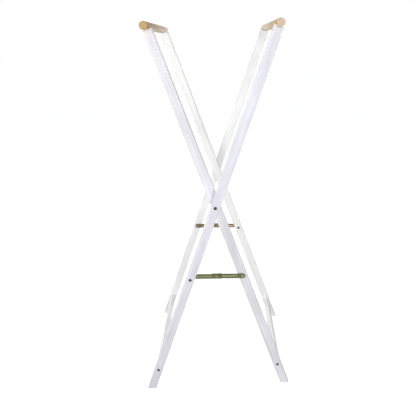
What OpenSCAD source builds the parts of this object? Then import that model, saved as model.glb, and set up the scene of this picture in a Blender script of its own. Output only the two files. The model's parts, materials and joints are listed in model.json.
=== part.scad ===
// Folding clothes rack: two timber frames that cross and scissor about one pivot line.
// The origin is on the floor below the pivot, +Z is up and +Y runs along the rails.

/* [Frames] */
// Lean of each frame away from upright when the rack stands open, in degrees
leg_angle = 19.5; // [16:0.5:23]
// Height of the pivot line above the floor
pivot_height = 813; // [700:1:920]
// Distance along a post from the pivot to the axis of the rail
pivot_to_rail = 714; // [600:1:820]
// Depth over the outer faces of the outer frame's posts
outer_depth = 700; // [500:5:1000]
// Gap between an outer post and the inner post beside it
frame_gap = 8; // [7.6:0.1:10]

/* [Timber sections] */
// Width of a post, seen from the end of the rack
post_width = 35; // [32:0.5:45]
// Thickness of a post, along the rails
post_thick = 32; // [28:0.5:45]
// Radius of a post's long edges
post_edge = 2.5; // [1:0.5:6]
// Diameter of a rail
rail_d = 30; // [26:1:36]
// Length of rail past the outer faces of the outer posts, at each end
rail_overhang = 20; // [8:1:60]
// Chamfer round each end of a rail
rail_chamfer = 1.5; // [0.5:0.5:4]
// Depth of the hollow that seats a rail in the top of a post
cradle_depth = 4; // [3:0.5:9]
// Width of a stretcher, along the post
stretcher_width = 54; // [46:1:90]
// Thickness of a stretcher
stretcher_thick = 20; // [17:0.5:26]
// Radius of a stretcher's long edges
stretcher_edge = 2; // [1:0.5:5]
// Distance along a post from the pivot down to the middle of the stretcher
stretcher_drop = 765; // [600:1:800]

/* [Dowels] */
// Diameter of the hidden beech dowels
dowel_d = 8; // [6:1:10]
// Length of each dowel in a stretcher's end
stretcher_dowel_l = 36; // [24:1:44]
// Distance between the two dowels in a stretcher's end
stretcher_dowel_pitch = 34; // [28:1:40]
// Length of each dowel under a rail
rail_dowel_l = 38; // [26:1:60]
// Length of that dowel inside the rail
rail_dowel_in = 11; // [8:1:16]

/* [Pivot] */
// Diameter of the pivot bolt's shank
pivot_bolt_d = 8; // [6:0.5:10]
// Diameter of the pivot bolt's head
pivot_head_d = 13; // [12:0.5:18]
// Length of the threaded insert in the inner post
insert_l = 20; // [12:1:24]
// Wall of the threaded insert round the bolt
insert_wall = 2; // [1:0.25:3]
// Outer diameter of the spacer between the posts
spacer_d = 24; // [18:1:30]

/* [Joint bolts] */
// Diameter of the bolts that hold the stretchers
joint_bolt_d = 6; // [5:0.5:8]
// Diameter of those bolts' heads
joint_head_d = 11; // [10:0.5:18]
// Length of those bolts past the barrel nut
joint_bolt_past = 5; // [2:0.5:12]
// Distance from a stretcher's end to its barrel nut
barrel_nut_inset = 22; // [16:1:24]
// Diameter of a barrel nut
barrel_nut_d = 10; // [9:0.5:14]
// Wood left in the stretcher behind a barrel nut
barrel_nut_wall = 5; // [3:0.5:6]
// Thickness of all the bolt heads
head_t = 3; // [2:0.25:5]
// Size across the flats of the hexagon socket in each head
socket_af = 4; // [3:0.5:5]

/* [Folding stays] */
// Distance along a post from the pivot down to the stay's pin
stay_drop = 320; // [260:1:420]
// Width of a stay's arm
arm_width = 20; // [16:0.5:24]
// Thickness of a stay's arm
arm_t = 2.2; // [1.6:0.1:2.4]
// Height of the pressed rib on an arm
rib_h = 0.8; // [0.4:0.1:1]
// Width of the pressed rib on an arm
rib_w = 5; // [3:0.5:7]
// Distance from an arm's pin or knuckle to the end of its rib
rib_margin = 24; // [20:1:34]
// Gap between the two layers of arms
layer_gap = 0.4; // [0.3:0.1:0.6]
// Length of the locking end past the knuckle
lock_l = 20; // [14:1:26]
// Distance from the knuckle to the start of the locking end's lip
lip_start = 10; // [9:0.5:12]
// Diameter of the pins through the posts
pin_d = 6; // [4:0.5:7]
// Diameter of the pins' heads
pin_head_d = 12; // [10:0.5:16]
// Diameter of the pins' washers
pin_washer_d = 14; // [11:0.5:16]
// Diameter of the nut on each pin
pin_nut_d = 10; // [9:0.5:11.5]
// Thickness of the nut on each pin
pin_nut_t = 2; // [1.4:0.1:2.4]
// Diameter of the knuckle rivet's shank
rivet_d = 5; // [4:0.5:6]
// Diameter of the knuckle rivet's two heads
rivet_head_d = 9; // [8:0.5:12]
// Thickness of the knuckle rivet's two heads
rivet_head_t = 1.2; // [0.8:0.1:1.4]

/* [Clearances] */
// Radial clearance where one piece turns on another
run_clear = 0.05; // [0.02:0.01:0.09]
// Radial clearance of a dowel, bolt or insert in its hole
hole_clear = 0.05; // [0.02:0.01:0.15]
// Gap between flat faces that slide past each other
face_clear = 0.2; // [0.1:0.05:0.3]
// Spare depth at the bottom of each blind hole
hole_spare = 0.5; // [0.3:0.1:0.9]
// Length by which a cutting shape runs past the face that it opens
over = 1; // [0.5:0.5:2]

/* [Hidden] */
$fn = 64;

// Faces of the posts, as distances from the middle of the rack along Y
outer_face = outer_depth / 2;
outer_back = outer_face - post_thick;
inner_face = outer_back - frame_gap;
inner_back = inner_face - post_thick;

// Places along a post, from the pivot
post_top = pivot_to_rail - rail_d / 2 + cradle_depth;
post_foot = pivot_height / cos(leg_angle) + post_width;
rail_l = outer_depth + 2 * rail_overhang;

// A stay's straight arms reach from each pin to the middle of the rack
arm_l = stay_drop * sin(leg_angle);
pin_height = pivot_height - stay_drop * cos(leg_angle);

// Layers across the gap between the posts, from the outer post's inner face
gap_middle = outer_back - frame_gap / 2;
outer_arm_y = gap_middle + layer_gap / 2;
inner_arm_y = gap_middle - layer_gap / 2 - arm_t;
washer_t = frame_gap / 2 - layer_gap / 2 - arm_t - face_clear;

// The locking end's lip lies over the other arm's upper edge
lip_z = arm_width / 2 + face_clear;

// Shapes of the bolt and rivet heads: how high the rim is and how wide the crown
head_rim = 1 / 3;
rivet_crown = 0.7;

// Fits
bolt_hole_r = joint_bolt_d / 2 + hole_clear;
pin_hole_r = pin_d / 2 + hole_clear;
dowel_hole_r = dowel_d / 2 + hole_clear;
insert_r = pivot_bolt_d / 2 + insert_wall;
pivot_bolt_l = face_clear + post_thick + frame_gap + insert_l;
barrel_nut_l = stretcher_thick - barrel_nut_wall;
joint_bolt_l = post_thick + barrel_nut_inset + barrel_nut_d / 2 + joint_bolt_past;

// Colours
painted = "#e9e8ee";
natural_wood = "#c79d5f";
beech = "#dcb98a";
dark_steel = "#4a3d38";
yellow_steel = "#8d8a4a";
pale_steel = "#b9b8b2";
nylon = "#e6e2d6";

// A frame's own space: the pivot at the origin and the posts along Z
module outer_space() {
  translate([0, 0, pivot_height]) rotate([0, leg_angle, 0]) children();
}

module inner_space() {
  mirror([1, 0, 0]) outer_space() children();
}

module near_side() {
  mirror([0, 1, 0]) children();
}

module both_sides() {
  children();
  near_side() children();
}

// A cylinder along +Y that starts at y
module rod_y(y, r, l) {
  translate([0, y, 0]) rotate([-90, 0, 0]) cylinder(r = r, h = l);
}

// A cylinder along +Z that starts at z
module rod_z(z, r, l) {
  translate([0, 0, z]) cylinder(r = r, h = l);
}

// The section of a planed board with eased edges
module rounded_rectangle(w, t, r) {
  square([w, t - 2 * r], center = true);
  square([w - 2 * r, t], center = true);
  for (x = [-1, 1], y = [-1, 1])
    translate([x * (w / 2 - r), y * (t / 2 - r)]) circle(r = r);
}

// One post, with its far outer face at y = face
module post(face) {
  difference() {
    translate([0, face - post_thick / 2, -post_foot])
      linear_extrude(post_foot + post_top)
        rounded_rectangle(post_width, post_thick, post_edge);
    translate([0, 0, pivot_to_rail])
      rod_y(face - post_thick - over, rail_d / 2 + hole_clear, post_thick + 2 * over);
    translate([0, face - post_thick / 2, 0])
      rod_z(pivot_to_rail - rail_d / 2 + rail_dowel_in - rail_dowel_l - hole_spare,
        dowel_hole_r, rail_dowel_l + hole_spare);
    translate([0, 0, -stay_drop])
      rod_y(face - post_thick - over, pin_hole_r, post_thick + 2 * over);
    translate([0, 0, -stretcher_drop]) {
      rod_y(face - post_thick - over, bolt_hole_r, post_thick + 2 * over);
      stretcher_dowel_places()
        rod_y(face - post_thick - over, dowel_hole_r, over + stretcher_dowel_l / 2 + hole_spare);
    }
  }
}

// Everything below the floor is cut away, which levels the feet
module cut_at_floor() {
  span = outer_depth + pivot_height;
  difference() {
    children();
    translate([-span, -span, -2 * span]) cube(2 * span);
  }
}

module outer_post() {
  cut_at_floor() outer_space() difference() {
    post(outer_face);
    rod_y(outer_back - over, pivot_bolt_d / 2 + run_clear, post_thick + 2 * over);
  }
}

module inner_post() {
  cut_at_floor() inner_space() difference() {
    post(inner_face);
    rod_y(inner_face - insert_l - hole_spare, insert_r + hole_clear, insert_l + hole_spare + over);
  }
}

// One rail on its seats, with blind holes for the dowels in the posts at y = face
module rail(face) {
  r = rail_d / 2;
  c = rail_chamfer;
  l = rail_l;
  difference() {
    translate([0, -l / 2, pivot_to_rail]) rotate([-90, 0, 0])
      rotate_extrude() polygon([[0, 0], [r - c, 0], [r, c], [r, l - c], [r - c, l], [0, l]]);
    both_sides() translate([0, face - post_thick / 2, 0])
      rod_z(pivot_to_rail - rail_d, dowel_hole_r, rail_d / 2 + rail_dowel_in + hole_spare);
  }
}

module rail_dowels(face) {
  both_sides() translate([0, face - post_thick / 2, 0])
    rod_z(pivot_to_rail - rail_d / 2 + rail_dowel_in - rail_dowel_l, dowel_d / 2, rail_dowel_l);
}

module stretcher_dowel_places() {
  for (side = [-1, 1])
    translate([0, 0, side * stretcher_dowel_pitch / 2]) children();
}

// One stretcher between the posts whose outer faces are at y = face
module stretcher(face) {
  end = face - post_thick;
  bolt_blind = joint_bolt_l - post_thick + hole_spare;
  dowel_blind = stretcher_dowel_l / 2 + hole_spare;
  nut_blind = barrel_nut_l + hole_spare;
  translate([0, 0, -stretcher_drop]) difference() {
    translate([0, end, 0]) rotate([90, 0, 0]) linear_extrude(2 * end)
      rounded_rectangle(stretcher_thick, stretcher_width, stretcher_edge);
    both_sides() {
      rod_y(end - bolt_blind, bolt_hole_r, bolt_blind + over);
      stretcher_dowel_places() rod_y(end - dowel_blind, dowel_hole_r, dowel_blind + over);
      translate([stretcher_thick / 2 - nut_blind, end - barrel_nut_inset, 0])
        rotate([0, 90, 0]) cylinder(r = barrel_nut_d / 2 + hole_clear, h = nut_blind + over);
    }
  }
}

module stretcher_dowels(face) {
  translate([0, 0, -stretcher_drop]) both_sides() stretcher_dowel_places()
    rod_y(face - post_thick - stretcher_dowel_l / 2, dowel_d / 2, stretcher_dowel_l);
}

// A bolt along Y with its head on the face at y = face and its shank towards the middle
module bolt(face, shank_d, head_d, l) {
  rim = head_d / 2;
  difference() {
    union() {
      rod_y(face - l, shank_d / 2, l + head_t / 2);
      translate([0, face, 0]) rotate([-90, 0, 0])
        rotate_extrude()
          polygon([[0, 0], [rim, 0], [rim, head_t * head_rim], [rim - head_t / 2, head_t], [0, head_t]]);
    }
    translate([0, face + head_t * head_rim, 0]) rotate([-90, 0, 0])
      cylinder(r = socket_af / 2 / cos(30), h = head_t, $fn = 6);
  }
}

module stretcher_bolts(face) {
  both_sides() translate([0, 0, -stretcher_drop]) bolt(face, joint_bolt_d, joint_head_d, joint_bolt_l);
}

// Barrel nuts lie across the stretcher and show a driver slot on its lower face
module barrel_nuts(face) {
  slot = barrel_nut_d / 8;
  end = face - post_thick;
  both_sides()
    translate([stretcher_thick / 2 - barrel_nut_l, end - barrel_nut_inset, -stretcher_drop])
    difference() {
      rotate([0, 90, 0]) cylinder(r = barrel_nut_d / 2, h = barrel_nut_l);
      translate([barrel_nut_l - slot, -slot / 2, -barrel_nut_d]) cube([2 * slot, slot, 2 * barrel_nut_d]);
      translate([barrel_nut_l - stretcher_thick / 2, 0, 0])
        rod_y(-barrel_nut_d, bolt_hole_r, 2 * barrel_nut_d);
    }
}

module spacer_pair() {
  both_sides() difference() {
    rod_y(inner_face + face_clear, spacer_d / 2, frame_gap - face_clear);
    rod_y(inner_face, pivot_bolt_d / 2 + run_clear, frame_gap + over);
  }
}

module pivot_insert_pair() {
  both_sides() difference() {
    rod_y(inner_face - insert_l, insert_r, insert_l);
    rod_y(inner_face - insert_l - over, pivot_bolt_d / 2 + hole_clear, insert_l + 2 * over);
  }
}

// A stay's pin: head on the face at y = face, shank through to y = tip, towards the gap
module outer_pin_pair() {
  tip = outer_arm_y - face_clear - pin_nut_t;
  both_sides() translate([0, 0, -stay_drop]) bolt(outer_face, pin_d, pin_head_d, outer_face - tip);
}

module inner_pin_pair() {
  tip = inner_arm_y + arm_t + face_clear + pin_nut_t;
  both_sides() translate([0, 2 * inner_back, -stay_drop]) near_side()
    bolt(inner_back, pin_d, pin_head_d, tip - inner_back);
}

// A flat ring round a stay's pin, from y to y + t
module pin_ring(y, d, t) {
  both_sides() translate([0, 0, -stay_drop]) difference() {
    rod_y(y, d / 2, t);
    rod_y(y - over, pin_hole_r, t + 2 * over);
  }
}

// The flat outline of an arm from its pin at the origin to its knuckle at x = arm_l
module arm_outline() {
  circle(d = arm_width);
  translate([0, -arm_width / 2]) square([arm_l, arm_width]);
  translate([arm_l, 0]) circle(d = arm_width);
}

module arm_holes() {
  circle(r = pin_d / 2 + run_clear);
  translate([arm_l, 0]) circle(r = rivet_d / 2 + hole_clear);
}

module arm_rib(w) {
  for (x = [rib_margin, arm_l - rib_margin])
    translate([x, 0]) circle(d = w);
  translate([rib_margin, -w / 2]) square([arm_l - 2 * rib_margin, w]);
}

// An arm's plate, flat in XY, with a rib pressed out of its upper side
module arm_plate() {
  difference() {
    union() {
      linear_extrude(arm_t) difference() {
        union() {
          arm_outline();
          children();
        }
        arm_holes();
      }
      linear_extrude(arm_t + rib_h) arm_rib(rib_w);
    }
    translate([0, 0, -over]) linear_extrude(over + rib_h) arm_rib(rib_w - rib_h);
  }
}

// The wider plate of the locking end, from before the knuckle to past it
module lock_outline() {
  translate([arm_l - lock_l, -arm_width / 2]) square([2 * lock_l, lip_z + arm_t + arm_width / 2]);
}

// The lip starts past the knuckle, so that it clears the other arm's end as the two turn
module lock_lip() {
  reach = layer_gap + arm_t;
  translate([arm_l + lip_start, lip_z, -reach]) cube([lock_l - lip_start, arm_t, reach + arm_t / 2]);
}

// Stands a flat arm up in the plane of the gap, its ribbed side facing out to +Y
module outer_arm() {
  translate([-arm_l, outer_arm_y, pin_height]) mirror([0, 1, 0]) rotate([90, 0, 0]) {
    arm_plate() lock_outline();
    lock_lip();
  }
}

module inner_arm() {
  translate([arm_l, inner_arm_y + arm_t, pin_height]) mirror([1, 0, 0]) rotate([90, 0, 0]) arm_plate();
}

// Half of the knuckle's rivet: a low head on its arm and a shank to the middle of the gap
module rivet_half() {
  r = rivet_head_d / 2;
  rim = rivet_head_t * head_rim;
  middle = layer_gap / 4;
  translate([0, 0, middle]) cylinder(d = rivet_d, h = layer_gap / 2 - middle + arm_t);
  translate([0, 0, layer_gap / 2 + arm_t])
    rotate_extrude()
      polygon([[0, 0], [r, 0], [r, rim], [r * rivet_crown, rivet_head_t], [0, rivet_head_t]]);
}

module outer_rivet() {
  translate([0, gap_middle, pin_height]) rotate([-90, 0, 0]) rivet_half();
}

module inner_rivet() {
  translate([0, gap_middle, pin_height]) rotate([90, 0, 0]) rivet_half();
}

module outer_post_near() color(painted) near_side() outer_post();
module outer_post_far() color(painted) outer_post();
module outer_rail() color(natural_wood) outer_space() rail(outer_face);
module outer_stretcher() color(painted) outer_space() stretcher(outer_face);
module outer_rail_dowels() color(beech) outer_space() rail_dowels(outer_face);
module outer_stretcher_dowels() color(beech) outer_space() stretcher_dowels(outer_face);
module outer_stretcher_bolts() color(dark_steel) outer_space() stretcher_bolts(outer_face);
module outer_barrel_nuts() color(pale_steel) outer_space() barrel_nuts(outer_face);
module pivot_spacers() color(nylon) outer_space() spacer_pair();
module outer_stay_pins() color(dark_steel) outer_space() outer_pin_pair();
module outer_stay_washers() color(pale_steel)
  outer_space() pin_ring(outer_back - washer_t, pin_washer_d, washer_t);
module outer_stay_nuts() color(pale_steel)
  outer_space() pin_ring(outer_arm_y - face_clear - pin_nut_t, pin_nut_d, pin_nut_t);

module inner_post_near() color(painted) near_side() inner_post();
module inner_post_far() color(painted) inner_post();
module inner_rail() color(natural_wood) inner_space() rail(inner_face);
module inner_stretcher() color(painted) inner_space() stretcher(inner_face);
module inner_rail_dowels() color(beech) inner_space() rail_dowels(inner_face);
module inner_stretcher_dowels() color(beech) inner_space() stretcher_dowels(inner_face);
module inner_stretcher_bolts() color(dark_steel) inner_space() stretcher_bolts(inner_face);
module inner_barrel_nuts() color(pale_steel) inner_space() barrel_nuts(inner_face);
module pivot_bolts() color(dark_steel)
  inner_space() both_sides() bolt(outer_face + face_clear, pivot_bolt_d, pivot_head_d, pivot_bolt_l);
module pivot_inserts() color(pale_steel) inner_space() pivot_insert_pair();
module inner_stay_pins() color(dark_steel) inner_space() inner_pin_pair();
module inner_stay_washers() color(pale_steel) inner_space() pin_ring(inner_face, pin_washer_d, washer_t);
module inner_stay_nuts() color(pale_steel)
  inner_space() pin_ring(inner_arm_y + arm_t + face_clear, pin_nut_d, pin_nut_t);

module outer_arm_near() color(yellow_steel) near_side() outer_arm();
module outer_rivet_near() color(pale_steel) near_side() outer_rivet();
module outer_arm_far() color(yellow_steel) outer_arm();
module outer_rivet_far() color(pale_steel) outer_rivet();
module inner_arm_near() color(yellow_steel) near_side() inner_arm();
module inner_rivet_near() color(pale_steel) near_side() inner_rivet();
module inner_arm_far() color(yellow_steel) inner_arm();
module inner_rivet_far() color(pale_steel) inner_rivet();

outer_post_near();
outer_post_far();
outer_rail();
outer_stretcher();
outer_rail_dowels();
outer_stretcher_dowels();
outer_stretcher_bolts();
outer_barrel_nuts();
pivot_spacers();
outer_stay_pins();
outer_stay_washers();
outer_stay_nuts();
inner_post_near();
inner_post_far();
inner_rail();
inner_stretcher();
inner_rail_dowels();
inner_stretcher_dowels();
inner_stretcher_bolts();
inner_barrel_nuts();
pivot_bolts();
pivot_inserts();
inner_stay_pins();
inner_stay_washers();
inner_stay_nuts();
outer_arm_near();
outer_rivet_near();
outer_arm_far();
outer_rivet_far();
inner_arm_near();
inner_rivet_near();
inner_arm_far();
inner_rivet_far();
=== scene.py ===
"""The looks of a folding clothes rack: white posts, oiled rails and yellow-passivated steel stays."""
import json
import math

import bmesh
import bpy
from mathutils import Euler, Matrix, Vector


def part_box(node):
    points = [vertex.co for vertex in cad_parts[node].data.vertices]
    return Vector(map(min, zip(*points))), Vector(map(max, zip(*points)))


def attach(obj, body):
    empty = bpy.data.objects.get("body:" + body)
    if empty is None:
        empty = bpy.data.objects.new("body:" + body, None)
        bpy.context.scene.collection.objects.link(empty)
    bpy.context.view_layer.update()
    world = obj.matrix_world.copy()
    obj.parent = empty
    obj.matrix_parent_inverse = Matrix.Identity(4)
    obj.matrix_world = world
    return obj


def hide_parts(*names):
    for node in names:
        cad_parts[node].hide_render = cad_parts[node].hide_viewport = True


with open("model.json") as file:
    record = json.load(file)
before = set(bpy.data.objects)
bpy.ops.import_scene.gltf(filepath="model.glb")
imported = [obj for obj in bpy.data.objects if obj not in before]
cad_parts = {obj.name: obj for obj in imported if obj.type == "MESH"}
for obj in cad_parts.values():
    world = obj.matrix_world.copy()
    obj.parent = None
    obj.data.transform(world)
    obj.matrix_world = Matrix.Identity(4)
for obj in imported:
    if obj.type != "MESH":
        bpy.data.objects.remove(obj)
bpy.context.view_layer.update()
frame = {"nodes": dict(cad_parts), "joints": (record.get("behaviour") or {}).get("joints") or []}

MM = 0.001

# The camera that fits the photograph: its focal length, its place, the way it faces and how far it sees
PHOTO_PX = 416
FOCAL_PX = 527.3
SENSOR_MM = 36.0
CAMERA_PLACE = Vector((33.2, -2291.9, 1421.1)) * MM
CAMERA_YAW = math.radians(-1.81)
CAMERA_PITCH = math.radians(17.31)
CAMERA_ROLL = math.radians(1.30)
SEES_FROM = 0.05
SEES_TO = 200.0

# Studio: the strength of the light from all round, how much more of it comes from the far left than from
# straight ahead, how brightly the floor shows itself, and half of the floor's width in metres
WORLD_STRENGTH = 0.39
LEFT_EXTRA = 0.22
FLOOR_GLOW = 0.78
FLOOR_HALF = 60.0

# Softboxes: each one's place, the point that it faces and its width, in metres, and its power in watts
PANELS = {
    "key_panel": ((0.6, -2.4, 1.6), (0.0, 0.0, 1.0), 1.0, 25),
    "front_panel": ((-0.6, -4.8, 1.7), (0.0, 0.0, 1.0), 1.8, 17),
    "left_panel": ((-1.65, -0.65, 1.35), (0.0, 0.2, 0.9), 0.6, 17),
    "right_panel": ((1.6, -0.6, 1.0), (0.0, 0.2, 0.8), 0.5, 6),
    "back_panel": ((0.0, 3.4, 1.6), (0.0, 0.0, 1.0), 1.2, 18),
}

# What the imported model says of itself: the pivot line, a stay's pin, and from them the posts' lean
joints = {joint["name"]: joint for joint in frame["joints"]}
PIVOT = Vector(joints["fold"]["pos_m"])
STAY_PIN = Vector(joints["inner_stay_far_pivot"]["pos_m"])
LEAN = math.atan2(STAY_PIN.x, PIVOT.z - STAY_PIN.z)
FRAMES = ("outer", "inner")
SIDES = ("near", "far")

# How far the edges are eased, beyond the rounding that the CAD's long edges have
BOARD_EDGE = 0.3 * MM
RAIL_EDGE = 1.8 * MM
PRESSED_EDGE = 0.1 * MM
RING_EDGE = 0.35 * MM

# The steel arms, in millimetres: half of their width, the pressed rib's width, and how far the rib stops
# short of the pin and the knuckle
arm_low, arm_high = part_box("inner_arm_far")
ARM_HALF = (arm_high.z - arm_low.z) / MM / 2
RIB_WIDTH = 5.0
RIB_MARGIN = 24.0

# Painted highlight and painted shade on an arm, in millimetres: the painted highlight on the rib fades from
# inside the rib's ends and sides to past them, and the painted shade deepens the tint from EDGE_INSIDE to
# EDGE_MARGIN short of the long edges
HIGHLIGHT_END_INSIDE = 1.0
HIGHLIGHT_END_PAST = 3.0
HIGHLIGHT_SIDE_INSIDE = 1.2
HIGHLIGHT_SIDE_PAST = 0.2
EDGE_INSIDE = 2.3
EDGE_MARGIN = 0.1

# Round heads: their heights, the rim's share of a height, the hexagon socket, and how far a hexagon's
# corners are from its middle where it is 1 wide across its flats
BOLT_HEAD = 3.0 * MM
RIVET_HEAD = 1.2 * MM
RIM_SHARE = 0.3
SOCKET_ACROSS = 4.0 * MM
SOCKET_DEPTH = 1.9 * MM
CORNER_REACH = 0.5 / math.cos(math.pi / 6)

# Shanks, how far one is rooted in its head as a share of the head's height, and what counts as below a head
PIVOT_SHANK = 8.0 * MM
JOINT_SHANK = 6.0 * MM
RIVET_SHANK = 5.0 * MM
ROOT_SHARE = 0.1
BELOW_HEAD = -0.05 * MM

# How much wider the hole in a washer, nut or spacer is than its shank
RING_CLEARANCE = 0.1 * MM

# How finely the round pieces and the eased edges are divided
ROUND_SIDES = 48
RAIL_SIDES = 96
DOME_STEPS = 8
RAIL_END_STEPS = 6
RING_CORNER_STEPS = 3
BEVEL_STEPS = 3

# Points nearer than WELD are one point, and faces that bend less than FLAT are one face. Edges that bend
# more than SHARP are eased, and shaded as edges
WELD = 0.001 * MM
FLAT = math.radians(0.5)
SHARP = math.radians(40)

# Paint, in millimetres along each axis. Raised grain is about 3 mm wide on real pine, and drawn 7 mm wide
# here so that the render shows it
PAINT_GRAIN = (7, 7, 420)
BRUSH_MARK = (0.9, 0.9, 90)
PAINT_CLOUD = (45, 45, 130)

# Wood, in millimetres. Rings are about 2.5 mm apart on real pine, and drawn 4 mm apart here so that the
# render shows them. Heartwood turns to sapwood over the blend below on either side of its reach, and on the
# rails the darker heartwood on top is partly painted shade and the paler sapwood below partly painted
# bounce light. The pith is a little out of line with the piece, so that the rings run out along it
RING_SPACING = 4.0
WOOD_FIBRE = (1.6, 95, 1.6)
HEART_AND_SHADE_BLEND = 7.0
PITH_TILT = Euler((math.radians(0.9), 0.0, math.radians(1.2)))

# Metal and nylon, in millimetres: the speckle, the patches of tint and how much longer these are than wide
METAL_SPECKLE = (0.8, 0.8, 0.8)
ARM_PATCH = 9.0
SMALL_PATCH = 4.0
PATCH_STRETCH = 2.4
NYLON_CLOUD = (3, 3, 3)

# How much smoother and how much rougher than its usual roughness a metal is from spot to spot
SMOOTHER = 0.06
ROUGHER = 0.08

# For a pattern that isn't turned, and for coordinates in plain millimetres
UNTURNED = (0, 0, 0)
ONE_MM = (1, 1, 1)


def far_half_of(node):
    """The box of a mirrored pair's far solid, or of the whole node where it lies on one side."""
    places = [vertex.co for vertex in frame["nodes"][node].data.vertices]
    places = [place for place in places if place.y > 0] or places
    low = Vector([min(place[axis] for place in places) for axis in range(3)])
    high = Vector([max(place[axis] for place in places) for axis in range(3)])
    return low, high


def middle_of(node):
    """The middle of a CAD node's box."""
    low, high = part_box(node)
    return (low + high) / 2


def linear(colour):
    """An sRGB hex colour as the linear values that a socket takes."""
    channels = [int(colour[start:start + 2], 16) / 255 for start in (1, 3, 5)]
    return [c / 12.92 if c <= 0.04045 else ((c + 0.055) / 1.055) ** 2.4 for c in channels] + [1.0]


def add_node(tree, kind, sockets=None, stops=(), **settings):
    """Adds a node. Sockets gives each input its value, or the output or outputs that feed it. Settings are
    the node's properties, and stops a ramp's places and colours, those of its two ends first."""
    made = tree.nodes.new(kind)
    for name, value in settings.items():
        setattr(made, name, value)
    for index, (place, colour) in enumerate(stops):
        ramp = made.color_ramp.elements
        stop = ramp[index] if index < 2 else ramp.new(place)
        stop.position = place
        stop.color = linear(colour)
    for name, value in (sockets or {}).items():
        named = [socket for socket in made.inputs if socket.enabled and socket.name == name]
        socket = named[0] if named else made.inputs[name]
        feeds = value if isinstance(value, list) and isinstance(value[0], bpy.types.NodeSocket) else [value]
        for feed in feeds:
            if isinstance(feed, bpy.types.NodeSocket):
                tree.links.new(feed, socket)
            else:
                socket.default_value = feed
    return made


def new_geometry_tree(name, inputs):
    """An empty Geometry Nodes tree with a socket of the given type and value for each named input."""
    tree = bpy.data.node_groups.new(name, "GeometryNodeTree")
    for label, (kind, value) in inputs.items():
        socket = tree.interface.new_socket(label, in_out="INPUT", socket_type=f"NodeSocket{kind}")
        if value is not None:
            socket.default_value = value
    tree.interface.new_socket("Geometry", in_out="OUTPUT", socket_type="NodeSocketGeometry")
    return tree, add_node(tree, "NodeGroupInput").outputs


def crisp(tree, shape):
    """Smooth shading that breaks at the sharp edges."""
    smooth = add_node(tree, "GeometryNodeSetShadeSmooth", {"Geometry": shape})
    bend = add_node(tree, "GeometryNodeInputMeshEdgeAngle").outputs["Unsigned Angle"]
    sharp = add_node(tree, "FunctionNodeCompare", {"A": bend, "B": SHARP}, operation="GREATER_THAN")
    return add_node(tree, "GeometryNodeSetShadeSmooth", {
        "Geometry": smooth.outputs["Geometry"], "Selection": sharp.outputs["Result"], "Shade Smooth": False,
    }, domain="EDGE").outputs["Geometry"]


def set_out(tree, given, shape):
    """A shape on each place, its Z axis outward and turned at random about it, made real and finished."""
    outward = add_node(tree, "GeometryNodeInputNamedAttribute", {
        "Name": "outward",
    }, data_type="FLOAT_VECTOR").outputs["Attribute"]
    facing = add_node(tree, "FunctionNodeAlignRotationToVector", {"Vector": outward}, axis="Z")
    turn = add_node(tree, "FunctionNodeRandomValue", {
        "Max": math.tau, "Seed": given["Seed"],
    }, data_type="FLOAT").outputs[1]
    about = add_node(tree, "FunctionNodeAxisAngleToRotation", {"Axis": (0, 0, 1), "Angle": turn})
    rotation = add_node(tree, "FunctionNodeRotateRotation", {
        "Rotation": facing.outputs["Rotation"], "Rotate By": about.outputs["Rotation"],
    }, rotation_space="LOCAL")
    placed = add_node(tree, "GeometryNodeInstanceOnPoints", {
        "Points": given["Places"], "Instance": shape, "Rotation": rotation.outputs["Rotation"],
    })
    real = add_node(tree, "GeometryNodeRealizeInstances", {"Geometry": placed.outputs["Instances"]})
    finished = add_node(tree, "GeometryNodeSetMaterial", {
        "Geometry": real.outputs["Geometry"], "Material": given["Finish"],
    })
    return finished.outputs["Geometry"]


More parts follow.
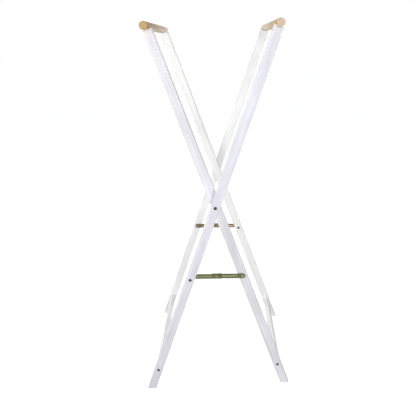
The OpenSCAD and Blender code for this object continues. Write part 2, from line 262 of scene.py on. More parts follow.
def domed_head(tree, given):
    """A pin's head: a flat blank with its seat on the place, and its top raised to a dome."""
    wide = given["Head Diameter"]
    tall = given["Head Height"]
    radius = add_node(tree, "ShaderNodeMath", {0: wide, 1: 0.5}, operation="MULTIPLY").outputs[0]
    blank = add_node(tree, "GeometryNodeMeshCylinder", {
        "Vertices": ROUND_SIDES, "Side Segments": 2, "Fill Segments": DOME_STEPS, "Radius": radius,
        "Depth": tall,
    })
    place = add_node(tree, "GeometryNodeInputPosition").outputs["Position"]
    height = add_node(tree, "ShaderNodeSeparateXYZ", {"Vector": place}).outputs["Z"]
    across = add_node(tree, "ShaderNodeVectorMath", {
        0: place, 1: (1, 1, 0),
    }, operation="MULTIPLY").outputs["Vector"]
    reach = add_node(tree, "ShaderNodeVectorMath", {0: across}, operation="LENGTH").outputs["Value"]
    # A point at a share of the radius goes to that share of a quarter turn over the dome
    share = add_node(tree, "ShaderNodeMath", {
        0: reach, 1: radius,
    }, operation="DIVIDE", use_clamp=True).outputs[0]
    angle = add_node(tree, "ShaderNodeMath", {0: share, 1: math.pi / 2}, operation="MULTIPLY").outputs[0]
    sine = add_node(tree, "ShaderNodeMath", {0: angle}, operation="SINE").outputs[0]
    cosine = add_node(tree, "ShaderNodeMath", {0: angle}, operation="COSINE").outputs[0]
    spread = add_node(tree, "ShaderNodeMath", {0: sine, 1: share}, operation="DIVIDE").outputs[0]
    flat = add_node(tree, "ShaderNodeVectorMath", {0: across, "Scale": spread}, operation="SCALE").outputs[0]
    crown = add_node(tree, "ShaderNodeMapRange", {
        "Value": cosine, "To Min": given["Rim Share"], "To Max": 1.0,
    }).outputs["Result"]
    level = add_node(tree, "ShaderNodeMath", {0: height, 1: tall}, operation="DIVIDE").outputs[0]
    raised = add_node(tree, "ShaderNodeMath", {0: level, 1: 0.5}, operation="ADD").outputs[0]
    domed = add_node(tree, "ShaderNodeMath", {0: raised, 1: crown}, operation="MULTIPLY").outputs[0]
    lifted = add_node(tree, "ShaderNodeMath", {0: domed, 1: tall}, operation="MULTIPLY").outputs[0]
    upward = add_node(tree, "ShaderNodeCombineXYZ", {"Z": lifted}).outputs["Vector"]
    return add_node(tree, "GeometryNodeSetPosition", {
        "Geometry": blank.outputs["Mesh"],
        "Position": add_node(tree, "ShaderNodeVectorMath", {0: flat, 1: upward}, operation="ADD").outputs[0],
    }).outputs["Geometry"]


def round_shank(tree, given):
    """A pin's shank: a rod below the place, rooted a little way in the head."""
    wide = given["Shank Diameter"]
    tall = given["Head Height"]
    free = given["Shank Length"]
    half = add_node(tree, "ShaderNodeMath", {0: wide, 1: 0.5}, operation="MULTIPLY").outputs[0]
    rooted = add_node(tree, "ShaderNodeMath", {0: tall, 1: ROOT_SHARE}, operation="MULTIPLY").outputs[0]
    length = add_node(tree, "ShaderNodeMath", {0: free, 1: rooted}, operation="ADD").outputs[0]
    centre = add_node(tree, "ShaderNodeMath", {
        0: length, 1: -0.5, 2: rooted,
    }, operation="MULTIPLY_ADD").outputs[0]
    rod = add_node(tree, "GeometryNodeMeshCylinder", {
        "Vertices": ROUND_SIDES // 2, "Radius": half, "Depth": length,
    })
    return add_node(tree, "GeometryNodeTransform", {
        "Geometry": rod.outputs["Mesh"],
        "Translation": add_node(tree, "ShaderNodeCombineXYZ", {"Z": centre}).outputs["Vector"],
    }).outputs["Geometry"]


def socketed(tree, given, pin):
    """The pin with a hexagon socket sunk in its head, or as it is where no socket is given."""
    flats = given["Socket Across"]
    corner = add_node(tree, "ShaderNodeMath", {0: flats, 1: CORNER_REACH}, operation="MULTIPLY").outputs[0]
    # The punch is centred on the head's top, so half of it goes in
    deep = add_node(tree, "ShaderNodeMath", {
        0: given["Socket Depth"], 1: 2.0,
    }, operation="MULTIPLY").outputs[0]
    hexagon = add_node(tree, "GeometryNodeMeshCylinder", {"Vertices": 6, "Radius": corner, "Depth": deep})
    top = add_node(tree, "ShaderNodeCombineXYZ", {"Z": given["Head Height"]}).outputs["Vector"]
    punch = add_node(tree, "GeometryNodeTransform", {
        "Geometry": hexagon.outputs["Mesh"], "Translation": top,
    })
    punched = add_node(tree, "GeometryNodeMeshBoolean", {
        "Mesh 1": pin, "Mesh 2": punch.outputs["Geometry"],
    }, operation="DIFFERENCE", solver="EXACT")
    welded = add_node(tree, "GeometryNodeMergeByDistance", {
        "Geometry": punched.outputs["Mesh"], "Distance": WELD,
    })
    has_socket = add_node(tree, "FunctionNodeCompare", {"A": flats, "B": 0.0}, operation="GREATER_THAN")
    return add_node(tree, "GeometryNodeSwitch", {
        "Switch": has_socket.outputs["Result"], "False": pin, "True": welded.outputs["Geometry"],
    }, input_type="GEOMETRY").outputs["Output"]


def headed_pin_tree():
    """A steel pin or bolt: a domed head above the place, a shank below it, and a hexagon socket where one
    is given. The shank has a finish of its own."""
    tree, given = new_geometry_tree("headed_pin", {
        "Places": ("Geometry", None), "Head Diameter": ("Float", 13 * MM),
        "Head Height": ("Float", BOLT_HEAD), "Rim Share": ("Float", RIM_SHARE),
        "Socket Across": ("Float", 0.0), "Socket Depth": ("Float", SOCKET_DEPTH),
        "Shank Diameter": ("Float", JOINT_SHANK), "Shank Length": ("Float", 20 * MM),
        "Finish": ("Material", None), "Shank Finish": ("Material", None), "Seed": ("Int", 0),
    })
    pin = add_node(tree, "GeometryNodeMeshBoolean", {
        "Mesh 2": [domed_head(tree, given), round_shank(tree, given)],
    }, operation="UNION", solver="EXACT").outputs["Mesh"]
    place = add_node(tree, "GeometryNodeInputPosition").outputs["Position"]
    height = add_node(tree, "ShaderNodeSeparateXYZ", {"Vector": place}).outputs["Z"]
    below = add_node(tree, "FunctionNodeCompare", {"A": height, "B": BELOW_HEAD}, operation="LESS_THAN")
    marked = add_node(tree, "GeometryNodeStoreNamedAttribute", {
        "Geometry": socketed(tree, given, pin), "Name": "shank", "Value": below.outputs["Result"],
    }, data_type="BOOLEAN", domain="FACE")
    placed = set_out(tree, given, crisp(tree, marked.outputs["Geometry"]))
    is_shank = add_node(tree, "GeometryNodeInputNamedAttribute", {"Name": "shank"}, data_type="BOOLEAN")
    finished = add_node(tree, "GeometryNodeSetMaterial", {
        "Geometry": placed, "Selection": is_shank.outputs["Attribute"], "Material": given["Shank Finish"],
    })
    add_node(tree, "NodeGroupOutput", {"Geometry": finished.outputs["Geometry"]})
    return tree


def turned_ring_tree():
    """A washer, nut or spacer: a rectangle with eased corners, swept round a circle above its place."""
    tree, given = new_geometry_tree("turned_ring", {
        "Places": ("Geometry", None), "Outer Diameter": ("Float", 14 * MM), "Hole": ("Float", 6 * MM),
        "Thickness": ("Float", 2 * MM), "Edge": ("Float", RING_EDGE), "Finish": ("Material", None),
        "Seed": ("Int", 0),
    })
    outer = given["Outer Diameter"]
    hole = given["Hole"]
    tall = given["Thickness"]
    wall = add_node(tree, "ShaderNodeMath", {0: outer, 1: hole}, operation="SUBTRACT").outputs[0]
    width = add_node(tree, "ShaderNodeMath", {0: wall, 1: 0.5}, operation="MULTIPLY").outputs[0]
    both = add_node(tree, "ShaderNodeMath", {0: outer, 1: hole}, operation="ADD").outputs[0]
    radius = add_node(tree, "ShaderNodeMath", {0: both, 1: 0.25}, operation="MULTIPLY").outputs[0]
    section = add_node(tree, "GeometryNodeCurvePrimitiveQuadrilateral", {"Width": width, "Height": tall})
    eased = add_node(tree, "GeometryNodeFilletCurve", {
        "Curve": section.outputs["Curve"], "Count": RING_CORNER_STEPS, "Radius": given["Edge"],
        "Limit Radius": True,
    }, mode="POLY")
    path = add_node(tree, "GeometryNodeCurvePrimitiveCircle", {"Resolution": ROUND_SIDES, "Radius": radius})
    swept = add_node(tree, "GeometryNodeCurveToMesh", {
        "Curve": path.outputs["Curve"], "Profile Curve": eased.outputs["Curve"],
    })
    middle = add_node(tree, "ShaderNodeMath", {0: tall, 1: 0.5}, operation="MULTIPLY").outputs[0]
    raised = add_node(tree, "GeometryNodeTransform", {
        "Geometry": swept.outputs["Mesh"],
        "Translation": add_node(tree, "ShaderNodeCombineXYZ", {"Z": middle}).outputs["Vector"],
    })
    finished = set_out(tree, given, crisp(tree, raised.outputs["Geometry"]))
    add_node(tree, "NodeGroupOutput", {"Geometry": finished})
    return tree


def turned_rail_tree():
    """A round rail that lies along its outward axis, centred on its place, with its ends rounded over."""
    tree, given = new_geometry_tree("turned_rail", {
        "Places": ("Geometry", None), "Length": ("Float", 740 * MM), "Diameter": ("Float", 30 * MM),
        "Edge": ("Float", RAIL_EDGE), "Finish": ("Material", None), "Seed": ("Int", 0),
    })
    edge = given["Edge"]
    # A line of points, half of them at each end, each at its step of a quarter turn over the end's edge
    last = 2 * RAIL_END_STEPS + 1
    quarter_step = math.pi / 2 / RAIL_END_STEPS
    line = add_node(tree, "GeometryNodeMeshLine", {"Count": last + 1, "Offset": (0, 0, 1)})
    step = add_node(tree, "GeometryNodeInputIndex").outputs["Index"]
    from_end = add_node(tree, "ShaderNodeMath", {0: float(last), 1: step}, operation="SUBTRACT").outputs[0]
    nearer = add_node(tree, "ShaderNodeMath", {0: step, 1: from_end}, operation="MINIMUM").outputs[0]
    angle = add_node(tree, "ShaderNodeMath", {0: nearer, 1: quarter_step}, operation="MULTIPLY").outputs[0]
    sine = add_node(tree, "ShaderNodeMath", {0: angle}, operation="SINE").outputs[0]
    cosine = add_node(tree, "ShaderNodeMath", {0: angle}, operation="COSINE").outputs[0]
    half_length = add_node(tree, "ShaderNodeMath", {
        0: given["Length"], 1: 0.5,
    }, operation="MULTIPLY").outputs[0]
    short = add_node(tree, "ShaderNodeMath", {0: half_length, 1: edge}, operation="SUBTRACT").outputs[0]
    along = add_node(tree, "ShaderNodeMath", {
        0: cosine, 1: edge, 2: short,
    }, operation="MULTIPLY_ADD").outputs[0]
    which = add_node(tree, "ShaderNodeMath", {0: step, 1: last / 2}, operation="SUBTRACT").outputs[0]
    way = add_node(tree, "ShaderNodeMath", {0: which}, operation="SIGN").outputs[0]
    height = add_node(tree, "ShaderNodeMath", {0: along, 1: way}, operation="MULTIPLY").outputs[0]
    stretched = add_node(tree, "GeometryNodeSetPosition", {
        "Geometry": line.outputs["Mesh"],
        "Position": add_node(tree, "ShaderNodeCombineXYZ", {"Z": height}).outputs["Vector"],
    })
    axis = add_node(tree, "GeometryNodeMeshToCurve", {"Mesh": stretched.outputs["Geometry"]})
    half = add_node(tree, "ShaderNodeMath", {0: given["Diameter"], 1: 0.5}, operation="MULTIPLY").outputs[0]
    thin = add_node(tree, "ShaderNodeMath", {0: half, 1: edge}, operation="SUBTRACT").outputs[0]
    radius = add_node(tree, "ShaderNodeMath", {
        0: sine, 1: edge, 2: thin,
    }, operation="MULTIPLY_ADD").outputs[0]
    section = add_node(tree, "GeometryNodeCurvePrimitiveCircle", {"Resolution": RAIL_SIDES, "Radius": 1.0})
    rail = add_node(tree, "GeometryNodeCurveToMesh", {
        "Curve": axis.outputs["Curve"], "Profile Curve": section.outputs["Curve"], "Scale": radius,
        "Fill Caps": True,
    })
    finished = set_out(tree, given, crisp(tree, rail.outputs["Mesh"]))
    add_node(tree, "NodeGroupOutput", {"Geometry": finished})
    return tree


def baked(piece):
    """The piece with what its modifiers make of it as a plain mesh, and no modifiers."""
    bpy.context.view_layer.update()
    made = bpy.data.meshes.new_from_object(piece.evaluated_get(bpy.context.evaluated_depsgraph_get()))
    piece.modifiers.clear()
    piece.data = made
    made.name = piece.name
    return piece


def new_piece(name, mesh):
    """A new object in the scene for a mesh."""
    piece = bpy.data.objects.new(name, mesh)
    bpy.context.scene.collection.objects.link(piece)
    return piece


def grown(name, tree, places, outward, settings):
    """What a tree makes on each place, as a plain mesh."""
    mesh = bpy.data.meshes.new(name)
    mesh.from_pydata(places, [], [])
    directions = mesh.attributes.new("outward", "FLOAT_VECTOR", "POINT")
    for item, direction in zip(directions.data, outward):
        item.vector = direction
    piece = new_piece(name, mesh)
    modifier = piece.modifiers.new("tree", "NODES")
    modifier.node_group = tree
    for item in tree.interface.items_tree:
        if item.name in settings:
            modifier[item.identifier] = settings[item.name]
    return baked(piece)


def eased_copy(name, node, edge, material):
    """A copy of a CAD node whose sharp edges are rounded over."""
    shape = bmesh.new()
    shape.from_mesh(frame["nodes"][node].data)
    bmesh.ops.remove_doubles(shape, verts=shape.verts, dist=WELD)
    bmesh.ops.dissolve_limit(shape, angle_limit=FLAT, verts=shape.verts, edges=shape.edges)
    for face in shape.faces:
        face.smooth = True
    mesh = bpy.data.meshes.new(name)
    shape.to_mesh(mesh)
    shape.free()
    if "custom_normal" in mesh.attributes:
        mesh.attributes.remove(mesh.attributes["custom_normal"])
    mesh.materials.append(material)
    piece = new_piece(name, mesh)
    rounding = piece.modifiers.new("rounding", "BEVEL")
    rounding.limit_method = "ANGLE"
    rounding.angle_limit = SHARP
    rounding.width = edge
    rounding.segments = BEVEL_STEPS
    shading = piece.modifiers.new("shading", "WEIGHTED_NORMAL")
    shading.mode = "FACE_AREA"
    return baked(piece)


def keep(piece, body, node):
    """The piece rides with its body and stands for a CAD node."""
    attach(piece, body)
    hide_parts(node)


def new_material(name):
    """An empty node material, its tree and its output."""
    material = bpy.data.materials.new(name)
    material.use_nodes = True
    material.node_tree.nodes.clear()
    return material, material.node_tree, material.node_tree.nodes.new("ShaderNodeOutputMaterial")


def pattern_space(tree, centre, turn, grain):
    """Object coordinates, centred and turned to a piece's lie, one unit to one grain along each axis."""
    place = add_node(tree, "ShaderNodeTexCoord").outputs["Object"]
    mapping = add_node(tree, "ShaderNodeMapping", {
        "Vector": place, "Location": centre, "Rotation": turn, "Scale": Vector(grain) * MM,
    }, vector_type="TEXTURE")
    return mapping.outputs["Vector"]


def white_enamel(name, turn, deep, full):
    """Satin enamel brushed on planed pine: a nearly even white, with brush lines and a hint of grain."""
    material, tree, output = new_material(name)
    grain = add_node(tree, "ShaderNodeTexNoise", {
        "Vector": pattern_space(tree, PIVOT, turn, PAINT_GRAIN), "Scale": 1.0, "Detail": 3.0,
        "Roughness": 0.55,
    }).outputs["Fac"]
    brush = add_node(tree, "ShaderNodeTexNoise", {
        "Vector": pattern_space(tree, PIVOT, turn, BRUSH_MARK), "Scale": 1.0, "Detail": 2.0,
        "Roughness": 0.5,
    }).outputs["Fac"]
    cloud = add_node(tree, "ShaderNodeTexNoise", {
        "Vector": pattern_space(tree, PIVOT, turn, PAINT_CLOUD), "Scale": 1.0, "Detail": 2.0,
        "Roughness": 0.5,
    }).outputs["Fac"]
    body_tone = add_node(tree, "ShaderNodeValToRGB", {"Fac": grain}, [(0.36, deep), (0.60, full)])
    cloud_tone = add_node(tree, "ShaderNodeValToRGB", {"Fac": cloud}, [(0.38, "#f5f5f5"), (0.62, "#ffffff")])
    colour = add_node(tree, "ShaderNodeMix", {
        "Factor": 1.0, "A": body_tone.outputs["Color"], "B": cloud_tone.outputs["Color"],
    }, data_type="RGBA", blend_type="MULTIPLY")
    gloss = add_node(tree, "ShaderNodeMapRange", {
        "Value": brush, "From Min": 0.3, "From Max": 0.7, "To Min": 0.5, "To Max": 0.62,
    })
    raised = add_node(tree, "ShaderNodeBump", {"Height": grain, "Strength": 0.35, "Distance": 0.12 * MM})
    brushed = add_node(tree, "ShaderNodeBump", {
        "Height": brush, "Strength": 0.3, "Distance": 0.03 * MM, "Normal": raised.outputs["Normal"],
    })
    shader = add_node(tree, "ShaderNodeBsdfPrincipled", {
        "Base Color": colour.outputs[2], "Roughness": gloss.outputs["Result"],
        "Normal": brushed.outputs["Normal"], "IOR": 1.48, "Specular IOR Level": 0.2,
    })
    tree.links.new(shader.outputs["BSDF"], output.inputs["Surface"])
    return material


def turned_wood(name, centre, pith, heart_and_shade_reach, heart_and_shade, sap_and_bounce_light, end):
    """Turned wood: rings about a pith outside the piece, darker heartwood on its side and fine fibres.
    With the pith above, as on the rails, the dark heartwood on top is partly painted shade and the pale
    sapwood below partly painted bounce light. Pith and reach are in millimetres, the pith from the
    piece's centre."""
    material, tree, output = new_material(name)
    ring_space = pattern_space(tree, Vector(centre) + Vector(pith) * MM, PITH_TILT, ONE_MM)
    # A ring wave of scale 1 repeats every tau / 20 units
    rings = add_node(tree, "ShaderNodeTexWave", {
        "Vector": ring_space, "Scale": math.tau / 20 / RING_SPACING, "Distortion": 1.6, "Detail": 2.0,
        "Detail Scale": 0.35, "Detail Roughness": 0.5, "Phase Offset": 0.7,
    }, wave_type="RINGS", rings_direction="Y", wave_profile="SAW").outputs["Fac"]
    fibre = add_node(tree, "ShaderNodeTexNoise", {
        "Vector": pattern_space(tree, centre, UNTURNED, WOOD_FIBRE), "Scale": 1.0, "Detail": 3.0,
        "Roughness": 0.6,
    }).outputs["Fac"]
    aside = add_node(tree, "ShaderNodeVectorMath", {
        0: ring_space, 1: (1, 0, 1),
    }, operation="MULTIPLY").outputs["Vector"]
    from_pith = add_node(tree, "ShaderNodeVectorMath", {0: aside}, operation="LENGTH").outputs["Value"]
    # Share of sapwood: on the rails it is also painted bounce light below, with painted shade on top where
    # it is 0
    sap_and_bounce_share = add_node(tree, "ShaderNodeMapRange", {
        "Value": from_pith, "From Min": heart_and_shade_reach - HEART_AND_SHADE_BLEND, "From Max": heart_and_shade_reach + HEART_AND_SHADE_BLEND,
    }).outputs["Result"]
    wood_tone = add_node(tree, "ShaderNodeMix", {
        "Factor": sap_and_bounce_share, "A": linear(heart_and_shade), "B": linear(sap_and_bounce_light),
    }, data_type="RGBA").outputs[2]
    ring_tone = add_node(tree, "ShaderNodeValToRGB", {"Fac": rings}, [(0.15, "#ffffff"), (0.92, "#dbcfb8")])
    fibre_tone = add_node(tree, "ShaderNodeValToRGB", {"Fac": fibre}, [(0.34, "#d8cfc0"), (0.58, "#ffffff")])
    ringed = add_node(tree, "ShaderNodeMix", {
        "Factor": 1.0, "A": wood_tone, "B": ring_tone.outputs["Color"],
    }, data_type="RGBA", blend_type="MULTIPLY")
    side = add_node(tree, "ShaderNodeMix", {
        "Factor": 0.8, "A": ringed.outputs[2], "B": fibre_tone.outputs["Color"],
    }, data_type="RGBA", blend_type="MULTIPLY")
    # End grain takes up more oil and is evener in colour
    normal = add_node(tree, "ShaderNodeTexCoord").outputs["Normal"]
    facing = add_node(tree, "ShaderNodeSeparateXYZ", {"Vector": normal}).outputs["Y"]
    end_share = add_node(tree, "ShaderNodeMapRange", {
        "Value": add_node(tree, "ShaderNodeMath", {0: facing}, operation="ABSOLUTE").outputs[0],
        "From Min": 0.55, "From Max": 0.95, "To Min": 0.0, "To Max": 1.0,
    })
    end_tone = add_node(tree, "ShaderNodeMix", {
        "Factor": 0.7, "A": linear(end), "B": ring_tone.outputs["Color"],
    }, data_type="RGBA", blend_type="MULTIPLY")
    colour = add_node(tree, "ShaderNodeMix", {
        "Factor": end_share.outputs["Result"], "A": side.outputs[2], "B": end_tone.outputs[2],
    }, data_type="RGBA", blend_type="MIX")
    bump = add_node(tree, "ShaderNodeBump", {"Height": fibre, "Strength": 0.4, "Distance": 0.08 * MM})
    shader = add_node(tree, "ShaderNodeBsdfPrincipled", {
        "Base Color": colour.outputs[2], "Roughness": 0.55, "Normal": bump.outputs["Normal"], "IOR": 1.5,
        "Specular IOR Level": 0.25,
    })
    tree.links.new(shader.outputs["BSDF"], output.inputs["Surface"])
    return material


def metal_surface(tree, output, colour, metallic, roughness):
    """A metal shader with a fine speckle in its gloss and its surface."""
    speckle = add_node(tree, "ShaderNodeTexNoise", {
        "Vector": pattern_space(tree, PIVOT, UNTURNED, METAL_SPECKLE), "Scale": 1.0, "Detail": 2.0,
    }).outputs["Fac"]
    gloss = add_node(tree, "ShaderNodeMapRange", {
        "Value": speckle, "From Min": 0.3, "From Max": 0.7,
        "To Min": roughness - SMOOTHER, "To Max": roughness + ROUGHER,
    })
    bump = add_node(tree, "ShaderNodeBump", {"Height": speckle, "Strength": 0.25, "Distance": 0.03 * MM})
    shader = add_node(tree, "ShaderNodeBsdfPrincipled", {
        "Base Color": colour, "Metallic": metallic, "Roughness": gloss.outputs["Result"],
        "Normal": bump.outputs["Normal"],
    })
    tree.links.new(shader.outputs["BSDF"], output.inputs["Surface"])


def drifting_tint(tree, patch, dark, middle, light):
    """A colour that drifts between three tints over patches of a few millimetres."""
    drift = add_node(tree, "ShaderNodeTexNoise", {
        "Vector": pattern_space(tree, PIVOT, UNTURNED, (patch * PATCH_STRETCH, patch, patch)),
        "Scale": 1.0, "Detail": 3.0, "Roughness": 0.6, "Distortion": 0.4,
    })
    return add_node(tree, "ShaderNodeValToRGB", {
        "Fac": drift.outputs["Fac"],
    }, [(0.34, dark), (0.68, light), (0.5, middle)]).outputs["Color"]


def plated_steel(name, dark, middle, light, roughness, metallic=1.0):
    """Turned or headed steel with a thin plating or lacquer, a little uneven in tint."""
    material, tree, output = new_material(name)
    tint = drifting_tint(tree, SMALL_PATCH, dark, middle, light)
    metal_surface(tree, output, tint, metallic, roughness)
    return material


def passivated_arm(name, dark, middle, light, rib_highlight, shade):
    """Pressed steel, zinc plated and yellow passivated, with a painted highlight along the rib and painted
    shade deepening the long edges.
    """
    material, tree, output = new_material(name)
    tint = drifting_tint(tree, ARM_PATCH, dark, middle, light)
    lie = add_node(tree, "ShaderNodeSeparateXYZ", {
        "Vector": pattern_space(tree, (0, 0, STAY_PIN.z), UNTURNED, ONE_MM),
    })
    from_knuckle = add_node(tree, "ShaderNodeMath", {0: lie.outputs["X"]}, operation="ABSOLUTE").outputs[0]
    from_middle = add_node(tree, "ShaderNodeMath", {0: lie.outputs["Z"]}, operation="ABSOLUTE").outputs[0]
    rib_end = STAY_PIN.x / MM - RIB_MARGIN
    begins = add_node(tree, "ShaderNodeMapRange", {
        "Value": from_knuckle, "From Min": RIB_MARGIN - HIGHLIGHT_END_PAST,
        "From Max": RIB_MARGIN + HIGHLIGHT_END_INSIDE,
    }).outputs["Result"]
    ends = add_node(tree, "ShaderNodeMapRange", {
        "Value": from_knuckle, "From Min": rib_end - HIGHLIGHT_END_INSIDE, "From Max": rib_end + HIGHLIGHT_END_PAST,
        "To Min": 1.0, "To Max": 0.0,
    }).outputs["Result"]
    crest = add_node(tree, "ShaderNodeMapRange", {
        "Value": from_middle, "From Min": RIB_WIDTH / 2 - HIGHLIGHT_SIDE_INSIDE,
        "From Max": RIB_WIDTH / 2 + HIGHLIGHT_SIDE_PAST, "To Min": 1.0, "To Max": 0.0,
    }, interpolation_type="SMOOTHSTEP").outputs["Result"]
    along = add_node(tree, "ShaderNodeMath", {0: begins, 1: ends}, operation="MULTIPLY").outputs[0]
    highlight_share = add_node(tree, "ShaderNodeMath", {0: along, 1: crest}, operation="MULTIPLY").outputs[0]
    # Painted highlight along the rib, where the mask above is 1
    highlighted = add_node(tree, "ShaderNodeMix", {
        "Factor": highlight_share, "A": tint, "B": linear(rib_highlight),
    }, data_type="RGBA")
    # Painted shade that deepens the tint towards the long edges
    margin = add_node(tree, "ShaderNodeMapRange", {
        "Value": from_middle, "From Min": ARM_HALF - EDGE_INSIDE, "From Max": ARM_HALF - EDGE_MARGIN,
        "To Min": 0.0, "To Max": 0.9,
    })
    edged = add_node(tree, "ShaderNodeMix", {
        "Factor": margin.outputs["Result"], "A": highlighted.outputs[2], "B": linear(shade),
    }, data_type="RGBA", blend_type="MULTIPLY")
    metal_surface(tree, output, edged.outputs[2], metallic=1.0, roughness=0.38)
    return material


def turned_nylon(name):
    """Natural nylon, turned and left as it is: milky and a little waxy."""
    material, tree, output = new_material(name)
    cloud = add_node(tree, "ShaderNodeTexNoise", {
        "Vector": pattern_space(tree, PIVOT, UNTURNED, NYLON_CLOUD), "Scale": 1.0, "Detail": 2.0,
    }).outputs["Fac"]
    tone = add_node(tree, "ShaderNodeValToRGB", {"Fac": cloud}, [(0.0, "#ddd8c9"), (1.0, "#ece8dc")])
    bump = add_node(tree, "ShaderNodeBump", {"Height": cloud, "Strength": 0.2, "Distance": 0.05 * MM})
    shader = add_node(tree, "ShaderNodeBsdfPrincipled", {
        "Base Color": tone.outputs["Color"], "Roughness": 0.5, "IOR": 1.53, "Normal": bump.outputs["Normal"],
        "Subsurface Weight": 0.1, "Subsurface Radius": (2.0 * MM, 1.8 * MM, 1.4 * MM),
    })
    tree.links.new(shader.outputs["BSDF"], output.inputs["Surface"])
    return material


def dress(node_name, material):
    """Gives a CAD node its material."""
    for slot in frame["nodes"][node_name].material_slots:
        slot.material = material


# White enamel, with its deep tone and its full one. Each post has its own two, because the photograph shows
# the near posts greyer than the far ones: the near posts' greyer whites are painted shade, and the far
# posts' whiter ones painted light. The grain runs up the posts, and along Y on the stretchers
ALONG_Y = math.radians(-90)
ON_OUTER = (0, LEAN, 0)
ON_INNER = (0, -LEAN, 0)
enamel = {
    "outer_post_near": white_enamel("white_enamel_painted_shade_outer_near_post", ON_OUTER, "#e4e3ea", "#edecf3"),
    "outer_post_far": white_enamel("white_enamel_painted_light_outer_far_post", ON_OUTER, "#f9f8f8", "#fefefe"),
    "inner_post_near": white_enamel("white_enamel_painted_shade_inner_near_post", ON_INNER, "#e7e6ea", "#f0eff3"),
    "inner_post_far": white_enamel("white_enamel_painted_light_inner_far_post", ON_INNER, "#f4f3f1", "#fbfaf9"),
    "outer_stretcher": white_enamel(
        "white_enamel_outer_stretcher", (ALONG_Y, LEAN, 0), "#fafaf9", "#ffffff",
    ),
    "inner_stretcher": white_enamel(
        "white_enamel_inner_stretcher", (ALONG_Y, -LEAN, 0), "#fafaf9", "#ffffff",
    ),
}

# Oiled pine is warm and yellow with a soft sheen, and bare beech, on the hidden dowels, is paler and evener.
# On the rails the darker heartwood on top is partly painted shade and the paler sapwood below partly
# painted bounce light, and the inner rail's darker tones are partly painted shade
wood = {
    "outer": turned_wood(
        "oiled_pine_outer_rail_with_painted_shade_and_light", middle_of("outer_rail"), (-10, 0, 34), 41, "#d5b87d", "#fff5e2", "#ddc4b2",
    ),
    "inner": turned_wood(
        "oiled_pine_inner_rail_with_painted_shade_and_light", middle_of("inner_rail"), (8, 0, 33), 39, "#ae9461", "#fff3de", "#cdb079",
    ),
}
beech = turned_wood("bare_beech", PIVOT, (30, 0, 20), 30, "#e0c296", "#e6cca4", "#cba67c")

# Yellow passivation in three tints, then the painted highlight on the rib and the painted shade at the
# edges:
# the photograph shows the near stay greener and darker than the far one
ARM_TINTS = {
    "outer_near": ("#575b3a", "#636745", "#757654", "#8d8d70", "#8a9068"),
    "inner_near": ("#525637", "#5f6342", "#6f7150", "#a5a586", "#8a9068"),
    "outer_far": ("#5f5240", "#75664c", "#8c795a", "#9a8868", "#a08a68"),
    "inner_far": ("#6b5b45", "#857250", "#9a845f", "#d2bc92", "#a08a68"),
}
passivated = {arm: passivated_arm(f"yellow_passivated_{arm}", *tints) for arm, tints in ARM_TINTS.items()}

# A headed rivet is smoother than the pressed arms and so shines more, bright zinc is a cool pale grey, and
# brown lacquer makes a head nearly black with a dull shine
passivated_rivet = plated_steel("yellow_passivated_rivet", "#6a6d50", "#7b7e60", "#93957a", roughness=0.3)
bright_zinc = plated_steel("bright_zinc_steel", "#8b8a88", "#9a9996", "#aaa8a4", roughness=0.32)
dark_lacquer = plated_steel(
    "dark_brown_lacquered_steel", "#3a2f2b", "#4a3d38", "#5c4c44", roughness=0.42, metallic=0.35,
)
nylon = turned_nylon("natural_nylon")

headed_pin = headed_pin_tree()
turned_ring = turned_ring_tree()
turned_rail = turned_rail_tree()

# Two kinds of head, each with its height, socket, finish and slot
SCREW = (BOLT_HEAD, SOCKET_ACROSS, dark_lacquer, "dark_steel")
RIVET = (RIVET_HEAD, 0.0, passivated_rivet, "pale_steel")


def add_pins(name, body, node, shank, kind, faces_out=True, sides=(-1, 1)):
    """Headed pins in place of a CAD node's, on both sides or one, their heads away from the rack's middle
    or towards it."""
    head, socket, finish, slot = kind
    low, high = far_half_of(node)
    # A node that lies on the near side alone is measured as its mirror image on the far side
    if high.y < 0:
        low.y, high.y = -high.y, -low.y
    seat = high.y - head if faces_out else low.y + head
    way = 1 if faces_out else -1
    axis = (low + high) / 2
    places = [(axis.x, side * seat, axis.z) for side in sides]
    outward = [(0, side * way, 0) for side in sides]
    pins = grown(name, headed_pin, places, outward, {
        "Head Diameter": high.z - low.z, "Head Height": head, "Socket Across": socket,
        "Shank Diameter": shank, "Shank Length": high.y - low.y - head, "Finish": finish,
        "Shank Finish": bright_zinc, "Seed": len(name),
    })
    keep(pins, body, node)


def add_rings(name, body, node, shank, finish):
    """Rings in place of a CAD node's, on both sides."""
    low, high = far_half_of(node)
    axis = (low + high) / 2
    places = [(axis.x, side * low.y, axis.z) for side in (-1, 1)]
    rings = grown(name, turned_ring, places, [(0, -1, 0), (0, 1, 0)], {
        "Outer Diameter": high.z - low.z, "Hole": shank + RING_CLEARANCE, "Thickness": high.y - low.y,
        "Finish": finish, "Seed": len(name),
    })
    keep(rings, body, node)


def add_board(name, body, node):
    """A painted post or stretcher in place of its CAD node."""
    keep(eased_copy(name, node, BOARD_EDGE, enamel[node]), body, node)


def add_arm(which, side):
    """A pressed arm of a stay, and its half of the knuckle rivet."""
    body = f"{which}_stay_{side}"
    node = f"{which}_arm_{side}"
    arm = eased_copy(f"{which}_pressed_arm_{side}", node, PRESSED_EDGE, passivated[f"{which}_{side}"])
    keep(arm, body, node)
    add_pins(f"{which}_domed_rivet_{side}", body, f"{which}_rivet_{side}", RIVET_SHANK, RIVET,
             faces_out=which == "outer", sides=(-1,) if side == "near" else (1,))


def add_rail(which, body):
    """A turned rail in place of its CAD node."""
    node = f"{which}_rail"
    low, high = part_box(node)
    rail = grown(f"{which}_turned_rail", turned_rail, [(low + high) / 2], [(0, 1, 0)], {
        "Length": high.y - low.y, "Diameter": high.z - low.z, "Finish": wood[which],
    })
    keep(rail, body, node)


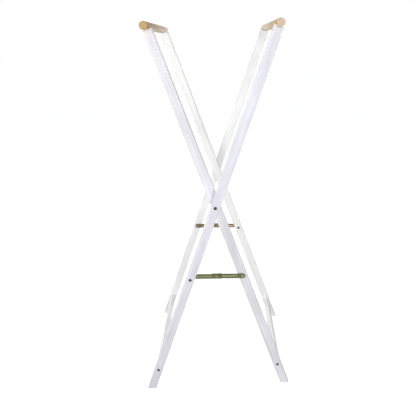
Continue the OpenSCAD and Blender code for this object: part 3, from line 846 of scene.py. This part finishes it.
def add_hardware(which, body):
    """A frame's screws, the stays' pins with their washers and nuts, and what is hidden in the wood."""
    add_pins(f"{which}_stretcher_screws", body, f"{which}_stretcher_bolts", JOINT_SHANK, SCREW)
    add_pins(f"{which}_stay_headed_pins", body, f"{which}_stay_pins", JOINT_SHANK, SCREW,
             faces_out=which == "outer")
    for rings in ("washers", "nuts"):
        add_rings(f"{which}_stay_ring_{rings}", body, f"{which}_stay_{rings}", JOINT_SHANK, bright_zinc)
    dress(f"{which}_rail_dowels", beech)
    dress(f"{which}_stretcher_dowels", beech)
    dress(f"{which}_barrel_nuts", bright_zinc)


for frame_name in FRAMES:
    frame_body = f"{frame_name}_frame"
    for side_name in SIDES:
        add_board(f"{frame_name}_painted_post_{side_name}", frame_body, f"{frame_name}_post_{side_name}")
        add_arm(frame_name, side_name)
    add_board(f"{frame_name}_painted_stretcher", frame_body, f"{frame_name}_stretcher")
    add_rail(frame_name, frame_body)
    add_hardware(frame_name, frame_body)
add_pins("pivot_headed_bolts", "inner_frame", "pivot_bolts", PIVOT_SHANK, SCREW)
add_rings("pivot_turned_spacers", "outer_frame", "pivot_spacers", PIVOT_SHANK, nylon)
dress("pivot_inserts", bright_zinc)


def add_camera():
    """Stands the camera where the photograph was taken from, with its field of view."""
    data = bpy.data.cameras.new("camera")
    data.sensor_width = SENSOR_MM
    data.lens = FOCAL_PX / PHOTO_PX * SENSOR_MM
    data.clip_start = SEES_FROM
    data.clip_end = SEES_TO
    camera = bpy.data.objects.new("camera", data)
    tilt = Matrix.Rotation(math.radians(90) - CAMERA_PITCH, 4, "X")
    facing = Matrix.Rotation(-CAMERA_YAW, 4, "Z") @ tilt
    camera.matrix_world = Matrix.Translation(CAMERA_PLACE) @ facing @ Matrix.Rotation(-CAMERA_ROLL, 4, "Z")
    bpy.context.scene.collection.objects.link(camera)
    bpy.context.scene.camera = camera


def sees_background(tree):
    """1 for the rays that show the background itself: from the camera, or through gloss and glass."""
    path = add_node(tree, "ShaderNodeLightPath")
    gloss = add_node(tree, "ShaderNodeMath", {
        0: path.outputs["Is Camera Ray"], 1: path.outputs["Is Glossy Ray"],
    }, operation="MAXIMUM")
    return add_node(tree, "ShaderNodeMath", {
        0: gloss.outputs[0], 1: path.outputs["Is Transmission Ray"],
    }, operation="MAXIMUM").outputs[0]


def add_world():
    """Soft light from all round, stronger from the left than from the right, and a white background."""
    world = bpy.data.worlds.new("studio")
    world.use_nodes = True
    tree = world.node_tree
    tree.nodes.clear()
    direction = add_node(tree, "ShaderNodeTexCoord").outputs["Generated"]
    sideways = add_node(tree, "ShaderNodeSeparateXYZ", {"Vector": direction}).outputs["X"]
    strength = add_node(tree, "ShaderNodeMath", {
        0: sideways, 1: -LEFT_EXTRA, 2: WORLD_STRENGTH,
    }, operation="MULTIPLY_ADD").outputs[0]
    light = add_node(tree, "ShaderNodeBackground", {"Color": linear("#fbfbff"), "Strength": strength})
    white = add_node(tree, "ShaderNodeBackground", {"Color": linear("#ffffff"), "Strength": 1.0})
    shown = add_node(tree, "ShaderNodeMixShader", {
        0: sees_background(tree), 1: light.outputs["Background"], 2: white.outputs["Background"],
    })
    add_node(tree, "ShaderNodeOutputWorld", {"Surface": shown.outputs["Shader"]})
    bpy.context.scene.world = world


def add_panel(name, place, aim, width, power):
    """A square white softbox."""
    data = bpy.data.lights.new(name, "AREA")
    data.shape = "SQUARE"
    data.size = width
    data.energy = power
    panel = bpy.data.objects.new(name, data)
    panel.location = place
    panel.rotation_euler = (Vector(aim) - Vector(place)).to_track_quat("-Z", "Y").to_euler()
    bpy.context.scene.collection.objects.link(panel)


def add_floor():
    """A plain white floor that keeps the rack's shadow."""
    corners = [(x * FLOOR_HALF, y * FLOOR_HALF, 0) for x, y in ((-1, -1), (1, -1), (1, 1), (-1, 1))]
    mesh = bpy.data.meshes.new("floor")
    mesh.from_pydata(corners, [], [(0, 1, 2, 3)])
    floor = new_piece("floor", mesh)
    material, tree, output = new_material("white_studio_floor")
    matt = add_node(tree, "ShaderNodeBsdfDiffuse", {"Color": linear("#c6c6c6")})
    shown = add_node(tree, "ShaderNodeMath", {
        0: sees_background(tree), 1: FLOOR_GLOW,
    }, operation="MULTIPLY").outputs[0]
    glow = add_node(tree, "ShaderNodeEmission", {"Color": linear("#ffffff"), "Strength": shown})
    summed = add_node(tree, "ShaderNodeAddShader", {0: matt.outputs["BSDF"], 1: glow.outputs["Emission"]})
    tree.links.new(summed.outputs["Shader"], output.inputs["Surface"])
    mesh.materials.append(material)


add_camera()
add_world()
for panel_name, (place, aim, width, power) in PANELS.items():
    add_panel(panel_name, place, aim, width, power)
add_floor()
bpy.context.scene.view_settings.view_transform = "Standard"
